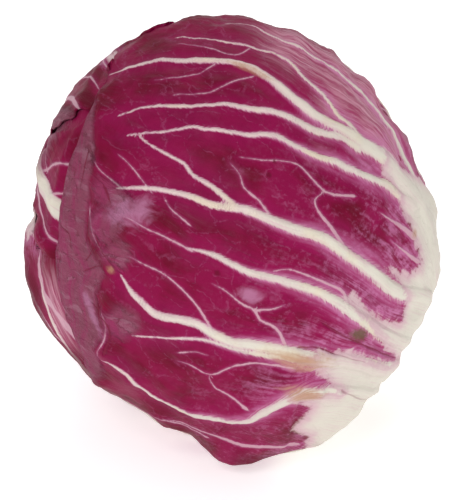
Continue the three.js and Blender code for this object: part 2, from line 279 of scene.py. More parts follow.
def softSpots(flat, spots):
    # Each spot is [along, across, reach along, reach across, turn in degrees].
    strongest = np.zeros(len(flat))
    for y, x, reachAlong, reachAcross, turn in spots:
        angle = math.radians(turn)
        dx, dy = flat[:, 0] - x, flat[:, 1] - y
        u = dx * math.cos(angle) + dy * math.sin(angle)
        v = dy * math.cos(angle) - dx * math.sin(angle)
        strongest = np.maximum(strongest, np.exp(-((u / reachAcross) ** 2) - (v / reachAlong) ** 2))
    return strongest


fans = {
    "spread": [0.5, 1.1],  # how far out the ribs of a fan stand, at the foot and at the tip
    "midrib": [7, 2.0],
    "side": [4, 1.2],
    "midribHeight": 1.3,
    "sideHeight": 0.9,
    "branchLength": [16, 30],
    "branchReach": [5, 10],
    "branchWidth": [1, 0.4],
    "branchStep": [9, 17],
    "branchFrom": 34,  # from the foot
    "branchTo": 14,  # from the rib's end
    "branchShape": [[0, 0], [0.18, 0.3], [0.4, 0.58], [0.7, 0.86], [1, 1]],  # shares along and across
    "branchLean": 0.8,
    "sway": [1.6, 60, 15],  # height, the distance that it takes to come on, and length
    "tipGap": [4, 26],  # what a midrib and the outermost rib leave free at the tip
    "ribPoints": 14,
    "paleOutline": [
        [-44, 80], [-50, 56], [-42, 36], [-50, 18], [-38, 0], [-50, -18], [-42, -36], [-50, -56],
        [-44, -80], [-100, -80], [-100, 80],
    ],
}


def fanRibs(leaf):
    # Each rib keeps its share of the leaf's half width, with a seeded sway.
    draw = np.random.default_rng(leaf["seed"])
    foot, tip = leaf["outline"][0][0], leaf["outline"][-1][0]
    count, ribs, veins = leaf["sideRibs"], [], []
    for i in range(-count, count + 1):
        share, phase = i / (count + 1), draw.uniform(0, math.tau)

        def ribAcross(y):
            left, right = along(leaf["outline"], y, 1), along(leaf["outline"], y, 2)
            spread = mix(*fans["spread"], (y - foot) / (tip - foot))
            height, begin, length = fans["sway"]
            sway = height * smooth((y - foot) / begin) * math.sin(y / length + phase)
            return float((left + right) / 2 + share * spread * (right - left) / 2 + sway)

        end = min(tip - fans["tipGap"][0] - fans["tipGap"][1] * abs(share), leaf.get("ribsTo", tip))
        path = [[y, ribAcross(y)] for y in np.linspace(foot, end, fans["ribPoints"])]
        width = fans["side"] if i else fans["midrib"]
        ribs.append((path, width, fans["sideHeight"] if i else fans["midribHeight"]))
        y, hand = foot + fans["branchFrom"], 1 if i % 2 else -1
        while y < end - fans["branchTo"]:
            length, reach = draw.uniform(*fans["branchLength"]), draw.uniform(*fans["branchReach"])
            branch = []
            for step, bend in fans["branchShape"]:
                rib = ribAcross(y + length * step * fans["branchLean"])
                branch.append([y + length * step, rib + bend * reach * hand])
            veins.append((branch, fans["branchWidth"]))
            y += draw.uniform(*fans["branchStep"])
            hand = -hand
    return ribs, veins


def prepareLeaf(leaf):
    middle = direction(*map(math.radians, leaf["faces"]))
    away = unit(middle * (middle @ stem) - stem)
    turn = math.radians(leaf.get("turn", 0))
    away = away * math.cos(turn) + np.cross(middle, away) * math.sin(turn)
    leaf.update(middle=middle, away=away, side=np.cross(away, middle))
    foot, tip = leaf["outline"][0][0], leaf["outline"][-1][0]
    places = np.arange(foot, tip + 1e-6, wrapped["marginStep"])
    left, right = (np.stack([along(leaf["outline"], places, c), places], 1) for c in (1, 2))
    leaf.update(foot=foot, tip=tip, margin=np.vstack([left, right[::-1], left[:1]]))
    for key in ("ribs", "veins", "folds", "tipVeins", "creases", "steps"):
        if key in leaf:
            leaf[key] = [(flatPath(leaf, path), *sizes) for path, *sizes in leaf[key]]
    for key in ("dullBeyond", "paleOutline"):
        if key in leaf:
            leaf[key] = flatPath(leaf, leaf[key])
    if "sideRibs" in leaf:
        leaf["ribs"], leaf["veins"] = fanRibs(leaf)
        leaf["veins"] += leaf.get("tipVeins", [])


def wrap(leaf, flat):
    length = np.hypot(*flat.T)
    angle = length / head["wrapRadius"]
    share = np.where(length > 1e-9, np.sin(angle) / np.maximum(length, 1e-9), 1 / head["wrapRadius"])
    return (
        np.cos(angle)[:, None] * leaf["middle"]
        + (flat[:, 0] * share)[:, None] * leaf["side"]
        + (flat[:, 1] * share)[:, None] * leaf["away"]
    )


def unwrap(leaf, way):
    angle = np.arccos(clamp(way @ leaf["middle"], -1, 1))
    share = head["wrapRadius"] * np.where(angle > 1e-6, angle / np.maximum(np.sin(angle), 1e-6), 1)
    return np.stack([way @ leaf["side"] * share, way @ leaf["away"] * share], 1)


def seenRows(leaf, pixels):
    # Where the camera's pixels [across, down] show the head, in whole millimetres on the flat leaf.
    aim = view["aim"][0] * faceRight + view["aim"][1] * faceUp
    camera = aim + view["distance"] * faceOut
    near, far = (view["distance"] - depth for depth in view["searched"])
    depths = np.linspace(near, far, view["searchSteps"])
    fromMiddle = np.array(pixels) - np.array(view["pixels"]) / 2
    rows = []
    for across, down in fromMiddle * view["field"] / view["pixels"][1]:
        ray = unit(aim + across * faceRight - down * faceUp - camera)
        points = camera + np.multiply.outer(depths, ray)
        radius = np.linalg.norm(points, axis=1)
        ways = points / radius[:, None]
        gap = radius - headRadius(ways)
        met = int((gap < 0).argmax() if gap.min() < 0 else gap.argmin())
        x, y = unwrap(leaf, ways[met : met + 1])[0]
        rows.append([round(y), round(x)])
    return rows


def flatPath(leaf, path):
    # A path holds rows of the flat leaf and names of paths that the camera sees.
    parts = [seenRows(leaf, seenPaths[part]) if isinstance(part, str) else [part] for part in path]
    return sum(parts, [])


def outside(leaf, flat):
    x, y = flat.T
    inside = (y > leaf["foot"]) & (y < leaf["tip"])
    inside &= (x > along(leaf["outline"], y, 1)) & (x < along(leaf["outline"], y, 2))
    return lineDistance(flat, leaf["margin"]) * np.where(inside, -1, 1)


def bladeThickness(leaf, flat):
    x, y = flat.T
    left, right = along(leaf["outline"], y, 1), along(leaf["outline"], y, 2)
    across = np.minimum(1, abs(2 * x - left - right) / (right - left))
    foot = smooth((wrapped["footStart"] - y) / wrapped["footLength"])
    return wrapped["blade"] + wrapped["footThickness"] * foot * (1 - across**2)


def pressed(above, way, rise=wrapped["rise"]):
    # How deep the leaves above press each direction, and how much of it they cover.
    depth, covered = np.zeros(len(way)), np.zeros(len(way))
    for leaf in above:
        flat = unwrap(leaf, way)
        cover = 1 - smooth((outside(leaf, flat) - wrapped["tuck"]) / rise)
        depth += cover * (bladeThickness(leaf, flat) + wrapped["gap"])
        covered = np.maximum(covered, cover)
    return depth, covered


def bulges(flat, places):
    # Each place is [along, across, reach along, reach across, height].
    x, y = flat.T
    height = np.zeros(len(flat))
    for middleAlong, middleAcross, reachAlong, reachAcross, rise in places:
        gap = ((y - middleAlong) / reachAlong) ** 2 + ((x - middleAcross) / reachAcross) ** 2
        height += rise * np.exp(-gap)
    return height


def lift(leaf, flat):
    # Folds, curled places and the wavy margin.
    x, y = flat.T
    height = bulges(flat, leaf.get("curls", []))
    for path, width, fold in leaf.get("creases", []):
        height += fold * np.exp(-((lineDistance(flat, smoothLine(path)) / width) ** 2))
    away = outside(leaf, flat)
    rolled = leaf.get("rolled", wrapped["rolled"])
    height *= 1 - rolled * smooth(1 + away / wrapped["rolledReach"])
    start = smooth((y - leaf["foot"]) / wrapped["waveStart"])
    calmed, calmLength = wrapped["calm"]
    start *= 1 - calmed * smooth((y - leaf.get("calmFrom", leaf["tip"])) / calmLength)
    turn = math.tau * (y + wrapped["waveSlant"] * abs(x)) / wrapped["waveLength"]
    wave = 0.5 + 0.5 * np.sin(turn + leaf["wave"][1] * np.where(x < 0, -1, 1))
    height += leaf["wave"][0] * wave * smooth(1 + away / wrapped["waveReach"]) * start
    frill = np.sin(math.tau * (y + 0.7 * x) / wrapped["frillLength"] + 2 * wave)
    return height + wrapped["frillHeight"] * frill * smooth(1 + away / wrapped["frillReach"]) * start


def ribRelief(flat, ribs):
    # Rounded ribs, and a blade that bulges a little between them.
    relief, nearest = np.zeros(len(flat)), np.full(len(flat), 1e3)
    for path, width, height in ribs:
        side, half, _ = veinField(flat, [(path, width)])
        thick = np.maximum(half * wrapped["ribSpread"], wrapped["leastRib"])
        rib = height * np.exp(-((side / thick) ** 2)) * smooth(half)
        relief = np.maximum(relief, rib * mix(0.5, 1, smooth(half / width[0] * 2)))
        nearest = np.minimum(nearest, abs(side) - half)
    return relief + wrapped["puff"] * smooth(nearest / wrapped["puffReach"])


def leafSurface(leaf, above, flat):
    # Where each flat point comes to lie, and how thick the leaf is there.
    way = wrap(leaf, flat)
    depth, covered = pressed(above, way, leaf.get("rise", wrapped["rise"]))
    seated = headRadius(way) - depth
    height = head["centreHeight"] + way[:, 2] * seated
    offTable = smooth((height - wrapped["tableClearance"]) / wrapped["tableFade"])
    free = (1 - covered) * np.where(way[:, 2] < 0, offTable, 1)
    relief = lift(leaf, flat) + ribRelief(flat, leaf["ribs"]) - wrapped["settle"]
    for number, (wavelength, lump) in enumerate(wrapped["lumps"]):
        relief += lump * ripples(flat, wavelength, leaf["seed"] + number)
    for path, reach, drop in leaf.get("steps", []):
        side, half, _ = veinField(flat, [(path, (2, 2))])
        faded = np.exp(-((side / wrapped["stepReach"]) ** 2)) * smooth(half + 0.2)
        relief -= drop * smooth(side / reach + 0.5) * faded
    edge = smooth(1 + outside(leaf, flat) / wrapped["thinReach"])
    thinner = (wrapped["blade"] - wrapped["thinEdge"]) * edge
    radius = seated + free * relief - thinner + bulges(flat, leaf.get("swell", []))
    points = way * radius[:, None] + [0, 0, head["centreHeight"]]
    return points, bladeThickness(leaf, flat) - thinner, covered


def flatGrid(leaf, grid):
    # From a square of points to the flat leaf, with an uneven margin and a rounded tip.
    u, v = (grid[:, 0] + 1) / 2, (grid[:, 1] + 1) / 2
    y = mix(leaf["foot"], leaf["tip"], v)
    jag = [wrapped["jag"] * ripples(y[:, None], 7, leaf["seed"] + side) for side in (30, 31)]
    left, right = along(leaf["outline"], y, 1) + jag[0], along(leaf["outline"], y, 2) + jag[1]
    x = mix(left, right, u)
    ragged, raggedLength = wrapped["tipRagged"]
    crown = (2 * u - 1) ** 2 + ragged * ripples(x[:, None], raggedLength, leaf["seed"] + 32)
    tipStart = wrapped["tipStart"]
    y = y - wrapped["tipRound"] * crown * smooth((v - tipStart) / (1 - tipStart))
    return np.stack([x, y], 1)


def streakPlace(leaf, flat):
    # A place across the leaf that stays the same along every rib, for streaks that follow them.
    paths = [path for path, width, _ in leaf["ribs"] if width[0] >= wrapped["longRib"]]
    paths.sort(key=lambda path: np.mean(path, axis=0)[1])
    lines = [along(sorted(path), flat[:, 1]) for path in paths]
    for i in range(1, len(lines)):
        lines[i] = np.maximum(lines[i], lines[i - 1] + wrapped["streakGap"])
    x = flat[:, 0]
    place = (np.minimum(x - lines[0], 0) + np.maximum(x - lines[-1], 0)) / wrapped["streakReach"]
    for left, right in zip(lines[:-1], lines[1:]):
        place = place + clamp((x - left) / (right - left), 0, 1)
    return place


class Value:
    # A socket that plain expressions can use: each operator adds a Math node.
    def __init__(self, finish, socket):
        self.finish, self.socket = finish, socket

    def outputs(self):
        return [Value(self.finish, socket) for socket in self.socket.node.outputs]

    def __add__(self, other):
        return self.finish.math("ADD", self, other)

    def __sub__(self, other):
        return self.finish.math("SUBTRACT", self, other)

    def __rsub__(self, other):
        return self.finish.math("SUBTRACT", other, self)

    def __mul__(self, other):
        return self.finish.math("MULTIPLY", self, other)

    def __truediv__(self, other):
        return self.finish.math("DIVIDE", self, other)

    def __abs__(self):
        return self.finish.math("ABSOLUTE", self)

    __radd__, __rmul__ = __add__, __mul__


class Finish:
    # One material and the nodes that make it.
    def __init__(self, name):
        self.material = bpy.data.materials.new(name)
        self.material.use_nodes = True
        self.tree = self.material.node_tree
        self.tree.nodes.clear()

    def add(self, kind, settings=None, sockets=None, output=0):
        node = self.tree.nodes.new("ShaderNode" + kind)
        for name, value in (settings or {}).items():
            setattr(node, name, value)
        for name, value in (sockets or {}).items():
            if isinstance(value, Value):
                self.tree.links.new(value.socket, node.inputs[name])
            else:
                node.inputs[name].default_value = value
        return Value(self, node.outputs[output]) if len(node.outputs) else None

    def math(self, operation, a, b=0.0):
        return self.add("Math", {"operation": operation}, {0: a, 1: b})

    def most(self, values):
        found = values[0]
        for value in values[1:]:
            found = self.math("MAXIMUM", found, value)
        return found

    def ramp(self, value, low, high):
        sockets = {"Value": value, "From Min": low, "From Max": high}
        return self.add("MapRange", {"interpolation_type": "SMOOTHSTEP"}, sockets)

    def blend(self, share, a, b, how="MIX"):
        settings = {"data_type": "RGBA", "blend_type": how}
        return self.add("Mix", settings, {0: share, 6: a, 7: b}, output=2)

    def attribute(self, name):
        vector = self.add("Attribute", {"attribute_name": name}, output=1)
        return self.add("SeparateXYZ", sockets={"Vector": vector}).outputs()

    def vector(self, x, y, z=0.0):
        return self.add("CombineXYZ", sockets={"X": x, "Y": y, "Z": z})

    def noise(self, vector, scale=1.0, detail=2.0, roughness=0.5, distortion=0.0):
        sockets = {"Vector": vector, "Scale": scale, "Detail": detail}
        sockets.update({"Roughness": roughness, "Distortion": distortion})
        return self.add("TexNoise", sockets=sockets)

    def cracks(self, vector, scale):
        sockets = {"Vector": vector, "Scale": scale}
        return self.add("TexVoronoi", {"feature": "DISTANCE_TO_EDGE"}, sockets)

    def finish(self, height=None, strength=1.0, **sockets):
        if height is not None:
            bump = {"Height": height, "Distance": millimetre, "Strength": strength}
            sockets["Normal"] = self.add("Bump", sockets=bump)
        named = {name.replace("_", " "): value for name, value in sockets.items()}
        shader = self.add("BsdfPrincipled", sockets=named)
        self.add("OutputMaterial", sockets={"Surface": shader})
        return self.material


def rgb(red, green, blue):
    # From the usual 0 to 255 of a colour picker.
    parts = [part / 255 for part in (red, green, blue)]
    return tuple(p / 12.92 if p <= 0.04045 else ((p + 0.055) / 1.055) ** 2.4 for p in parts) + (1.0,)


tones = {
    "crimson": rgb(122, 8, 50),
    "deep": rgb(102, 6, 36),
    "magenta": rgb(152, 18, 88),
    "lilac": rgb(190, 112, 156),
    # pale streaks, also painted as the broad highlight on the upper part of the front leaf
    "dusty": rgb(194, 132, 152),
    "blush": rgb(206, 166, 178),
    "rib": rgb(222, 204, 196),
    "cream": rgb(214, 208, 195),
    "butter": rgb(222, 206, 170),
    # mauve and ash: waxy bloom, with a painted grazing reflection, on the band at the edge of the head
    "mauve": rgb(142, 80, 102),
    "ash": rgb(162, 114, 132),
    # painted highlight: the glare of the lamps on the blade
    "sheen": rgb(178, 116, 150),
    # darker wine red, also painted as the shade on the lower part of the flap
    "wine": rgb(96, 10, 36),
    "tan": rgb(180, 138, 108),
    "olive": rgb(96, 78, 50),
    # painted shade along folds and wrinkles
    "fold": rgb(120, 30, 56),
}


# Streaks that follow the ribs: how many between two ribs, and how fast they change along the leaf.
streaks = {"long": [12, 0.07], "fine": [26, 0.13], "hair": [38, 0.06]}
skin = {"gloss": 0.07, "bump": 0.9, "midway": 0.55}


def veinEdge(finish, name):
    # How far the nearest vein's edge is, less than zero on a vein. The side of a vein changes sign
    # midway between two veins as well, and there the plain distance tells that no vein is near.
    side, half, plain = finish.attribute(name)
    return finish.most([abs(side), plain - finish.ramp(half, 0.9, 0.4) * skin["midway"]]) - half


def leafFinish(leaf):
    f = Finish(leaf["name"] + " skin")
    x, y, streak = f.attribute("place")
    pale, dull, sheen = f.attribute("tone")
    tan, olive, dusty = f.attribute("mark")
    bandSide, wine, crisp = f.attribute("extra")
    seed = float(leaf["seed"])
    flat = f.vector(x, y, seed)
    runs = {kind: (streak * across, y * down) for kind, (across, down) in streaks.items()}
    long = f.noise(f.vector(*runs["long"], seed), 1, 3, 0.55)
    fine = f.noise(f.vector(*runs["fine"], seed), 1, 3, 0.6)
    hair = f.noise(f.vector(*runs["hair"], seed + 5), 1, 2, 0.5)
    blotch = f.noise(flat, 0.07, 3, 0.55)
    speck = f.noise(flat, 0.9, 3, 0.6)
    ragged = ((long - 0.5) * 1.4 + (fine - 0.5)) * (1 - crisp)
    streaky = f.ramp(long + fine * 0.5, 0.5, 0.95)

    rib, vein, fold = (veinEdge(f, name) for name in ("rib", "vein", "fold"))
    slanted = y - x * leaf.get("paleSlant", 0.0)
    low = f.ramp(slanted, leaf["paleAlong"][1], leaf["paleAlong"][0])  # 1 at the foot
    spikes = f.noise(f.vector((y + rib * 1.4) * 1.5, streak * 5, seed), 1, 4, 0.65)
    ribRough = rib + ragged * (0.3 + low * 0.8) + (spikes - 0.5) * (0.5 + low * 1.7)
    ribRough = ribRough + (speck - 0.5) * 0.5

    # The blade: crimson in the middle of each panel, magenta and lilac towards ribs and foot.
    colour = f.blend(f.ramp(blotch + (long - 0.5) * 0.5, 0.38, 0.66), tones["crimson"], tones["deep"])
    cloud = f.noise(flat, 0.22, 4, 0.65, 0.6)
    near = f.ramp(rib + ragged * 2.5, 8.0, 0.0)
    near = f.most([near, f.ramp(vein + ragged * 1.2, 3.0, 0.0) * 0.7, f.ramp(blotch, 0.6, 0.35) * 0.6])
    colour = f.blend(near * (0.45 + low * 0.5), colour, tones["magenta"])
    clouded = f.ramp(cloud + ragged * 0.5 + (speck - 0.5) * 0.7, 0.45, 0.8)
    colour = f.blend(clouded * (0.03 + low * 0.6), colour, tones["lilac"])
    netAcross = x + (blotch - 0.5) * 12 + (speck - 0.5) * 0.7
    netPlace = f.vector(netAcross, y * 0.5 + (cloud - 0.5) * 4, seed)
    net = f.ramp(f.cracks(netPlace, 0.17), 0.045, 0.0) * f.ramp(speck + (cloud - 0.5), 0.4, 0.6)
    colour = f.blend(net * 0.14, colour, tones["lilac"])
    # Pale streaky wash: on the upper part of the front leaf it paints the broad highlight of the light
    # from above.
    paleStreaksAndHighlightShare = f.ramp(dusty + (blotch - 0.5) * 0.5 + (long - 0.5) * 0.6, 0.05, 0.95)
    colour = f.blend(paleStreaksAndHighlightShare * (0.3 + streaky * 0.7), colour, tones["dusty"])
    colour = f.blend(paleStreaksAndHighlightShare * f.ramp(hair, 0.5, 0.66) * 0.5, colour, tones["blush"])
    highlightStreakGap = f.ramp(fine + (long - 0.5) * 0.6, 0.52, 0.34)
    colour = f.blend(paleStreaksAndHighlightShare * highlightStreakGap * 0.55, colour, tones["magenta"])
    featherReach = 0.4 + low * 5
    feather = f.ramp(ribRough / featherReach, 1.3, 0.0) * f.ramp(long + fine * 0.5, 0.42, 0.95)
    fringe = f.ramp(ribRough, 0.5 + low, 0.1) * f.ramp(spikes, 0.62, 0.42)
    foot = f.ramp(pale + ragged * 4 + (cloud - 0.5) * 8, -13.0, 0.5)
    foot = foot * f.ramp(cloud + (fine - 0.5) * 1.2, 0.25, 0.75) * (1 - crisp)
    colour = f.blend(f.most([feather, foot]) * 0.8, colour, tones["lilac"])
    colour = f.blend(fringe * 0.5, colour, tones["blush"])

    veinRough = vein + (fine - 0.5) * 0.4 + (speck - 0.5) * 0.6 + (cloud - 0.5) * 0.5
    colour = f.blend(f.ramp(veinRough, 0.6, 0.0) * 0.25, colour, tones["lilac"])
    colour = f.blend(f.ramp(veinRough, 0.16, -0.2) * 0.75, colour, tones["blush"])

    # Ribs and the pale foot.
    white = f.ramp(ribRough, 0.3, -0.2)
    base = f.ramp(pale + ragged * 1.8 + (cloud - 0.5) * 6 * (1 - crisp) + (speck - 0.5) * 2, -1.0, 0.9)
    creamy = f.blend(f.ramp(y, leaf["paleAlong"][0] * 0.3, 45), tones["cream"], tones["rib"])
    creamy = f.blend(f.ramp(ribRough, -1.1, 0.0) * 0.4, creamy, tones["blush"])
    creamy = f.blend(f.ramp(long * 0.6 + fine * 0.4, 0.5, 0.66) * 0.5, creamy, tones["blush"])
    creamy = f.blend(f.ramp(blotch, 0.5, 0.72) * 0.4, creamy, tones["butter"])
    tinted = f.most([f.ramp(hair, 0.45, 0.75) * 0.35, f.ramp(pale + ragged * 4, 7.0, 0.0) * 0.45])
    footTone = f.blend(tinted, tones["cream"], tones["blush"])
    redEnds = f.ramp(pale + ragged * 3 + (cloud - 0.5) * 6, 3.5, 0.0)
    footTone = f.blend(redEnds * 0.35, footTone, tones["lilac"])
    creamy = f.blend(base, creamy, footTone)
    colour = f.blend(f.most([white, base]), colour, creamy)

    # Darker wine red patches and spots; on the lower part of the flap they are painted shade.
    wineAndShadeShare = f.ramp(wine + (blotch - 0.5) * 0.5, 0.3, 0.8) * (1 - base)
    colour = f.blend(wineAndShadeShare * 0.75, colour, tones["wine"])

    # The band that the leaf folds over, with its wrinkles. Its mauve and ash are partly the leaf's waxy
    # bloom and partly a painted reflection of the bright surroundings, where the band turns away at a
    # grazing angle.
    bloomAndReflectionShare = f.ramp(dull + (blotch - 0.5) * 0.7 + (long - 0.5) * 0.5, 0.2, 0.85)
    bloomAndReflectionShare = bloomAndReflectionShare * f.ramp(dull, 0.02, 0.2)
    colour = f.blend(bloomAndReflectionShare * 0.7, colour, tones["mauve"])
    bandPlace = f.vector(bandSide * 0.2, y * 0.06 - x * 0.06, seed)
    pleats = f.noise(bandPlace, 1, 3, 0.6, 0.8)
    crumple = f.noise(f.vector(x * 0.22 + y * 0.1, y * 0.09, seed + 2), 1, 4, 0.65, 1.2)
    cells = f.cracks(f.vector(x * 0.6 + (speck - 0.5) * 2.5, y * 0.35 + (blotch - 0.5) * 4, 0.0), 0.3)
    crack = f.ramp(cells, 0.05, 0.0) * bloomAndReflectionShare * f.ramp(crumple, 0.45, 0.6)
    colour = f.blend(bloomAndReflectionShare * f.ramp(pleats, 0.45, 0.7) * 0.5, colour, tones["magenta"])
    colour = f.blend(bloomAndReflectionShare * f.ramp(crumple, 0.5, 0.66) * 0.45, colour, tones["ash"])
    colour = f.blend(crack * 0.6, colour, tones["deep"])

    # Painted highlight: lilac patches that stand in for the glare of the lamps on the glossy blade.
    paintedSheenShare = f.ramp(sheen + (crumple - 0.5) * 0.8 + (cloud - 0.5) * 2, 0.2, 1.2)
    colour = f.blend(paintedSheenShare * f.ramp(sheen, 0.05, 0.5) * 0.8, colour, tones["sheen"])
    # Painted shade along the folds and wrinkles, on top of a dip in the bump.
    creaseShade = f.ramp(fold + (fine - 0.5) * 0.5, 0.2, -0.1) * (0.75 - base * 0.4)
    colour = f.blend(creaseShade, colour, tones["fold"])
    stained = f.ramp(tan + (speck - 0.5) * 0.5 + (long - 0.5) * 0.9, 0.25, 1.0)
    colour = f.blend(stained * (0.4 + streaky * 0.5), colour, tones["tan"])
    colour = f.blend(f.ramp(olive + (speck - 0.5) * 0.9, 0.25, 0.85) * 0.85, colour, tones["olive"])

    height = f.ramp(rib, 0.5, -0.8) * 0.35 + (long - 0.5) * 0.14 + speck * 0.05 + hair * 0.06
    height = height + net * 0.08 + f.ramp(vein, 0.5, -0.3) * 0.2
    height = height - f.ramp(fold, 0.6, -0.2) * (0.4 - base * 0.25)
    wrinkle = f.noise(f.vector(x * 0.5, y * 0.5, 3.0), 1, 4, 0.6, 1.5)
    height = height + wrinkle * (0.12 + bloomAndReflectionShare * 0.5) - crack * 0.25
    height = height + (pleats * 1.4 + crumple * 1.6) * bloomAndReflectionShare
    roughness = 0.42 + speck * 0.14 + bloomAndReflectionShare * 0.1 + f.most([white, base]) * 0.06
    look = {"Base_Color": colour, "Roughness": roughness, "Specular_IOR_Level": skin["gloss"]}
    return f.finish(height, skin["bump"], **look)


def setVectors(mesh, name, columns):
    values = np.stack([np.broadcast_to(column, len(mesh.vertices)) for column in columns], 1)
    attribute = mesh.attributes.new(name, "FLOAT_VECTOR", "POINT")
    attribute.data.foreach_set("vector", values.astype(np.float32).ravel())


def meshFrom(name, bm):
    mesh = bpy.data.meshes.new(name)
    bm.to_mesh(mesh)
    bm.free()
    mesh.shade_smooth()
    piece = bpy.data.objects.new(name, mesh)
    bpy.context.scene.collection.objects.link(piece)
    return piece


def dress(piece, node):
    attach(piece, "root")
    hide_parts(node)


def makeLeaf(leaf, above):
    bm = bmesh.new()
    bmesh.ops.create_grid(bm, x_segments=leaf["grid"][0], y_segments=leaf["grid"][1], size=1)
    grid = np.array([vert.co[:] for vert in bm.verts])
    flat = flatGrid(leaf, grid)
    points, thickness, covered = leafSurface(leaf, above, flat)
    for vert, point in zip(bm.verts, points * millimetre):
        vert.co = point
    piece = meshFrom(leaf["name"], bm)

    mesh = piece.data
    setVectors(mesh, "place", [flat[:, 0], flat[:, 1], streakPlace(leaf, flat)])
    dull, bandSide = softSpots(flat, leaf.get("dullSpots", [])), 0.0
    if "dullBeyond" in leaf:
        bandSide = veinField(flat, [(leaf["dullBeyond"], (1, 1))])[0]
        width, start, length = wrapped["dull"]
        dull = np.maximum(dull, smooth(bandSide / width) * smooth((flat[:, 1] - start) / length))
    pale = withinOutline(flat, leaf.get("paleOutline", fans["paleOutline"]))
    spot = softSpots(flat, leaf.get("paleSpots", []))
    pale = np.maximum(pale, 2 + 4 * np.log(np.maximum(spot, 1e-6)))
    kinds = ("sheen", "tan", "olive", "dusty", "wine", "crisp")
    spots = {kind: softSpots(flat, leaf.get(kind, [])) for kind in kinds}
    setVectors(mesh, "tone", [pale, dull, spots["sheen"]])
    setVectors(mesh, "mark", [spots["tan"], spots["olive"], spots["dusty"]])
    setVectors(mesh, "extra", [bandSide, spots["wine"], spots["crisp"]])
    for name in ("rib", "vein", "fold"):
        setVectors(mesh, name, veinField(flat, leaf.get(name + "s", [])))

    group = piece.vertex_groups.new(name="thickness")
    thickest = wrapped["blade"] + wrapped["footThickness"]
    for index, share in enumerate(thickness / thickest):
        group.add([index], float(share), "REPLACE")
    wall = piece.modifiers.new("wall", "SOLIDIFY")
    wall.thickness = thickest * millimetre
    wall.offset = -1
    wall.vertex_group = group.name
    mesh.materials.append(leafFinish(leaf))
    dress(piece, leaf["node"])
    print("leaf made:", leaf["name"], len(mesh.vertices), "points")
    return piece


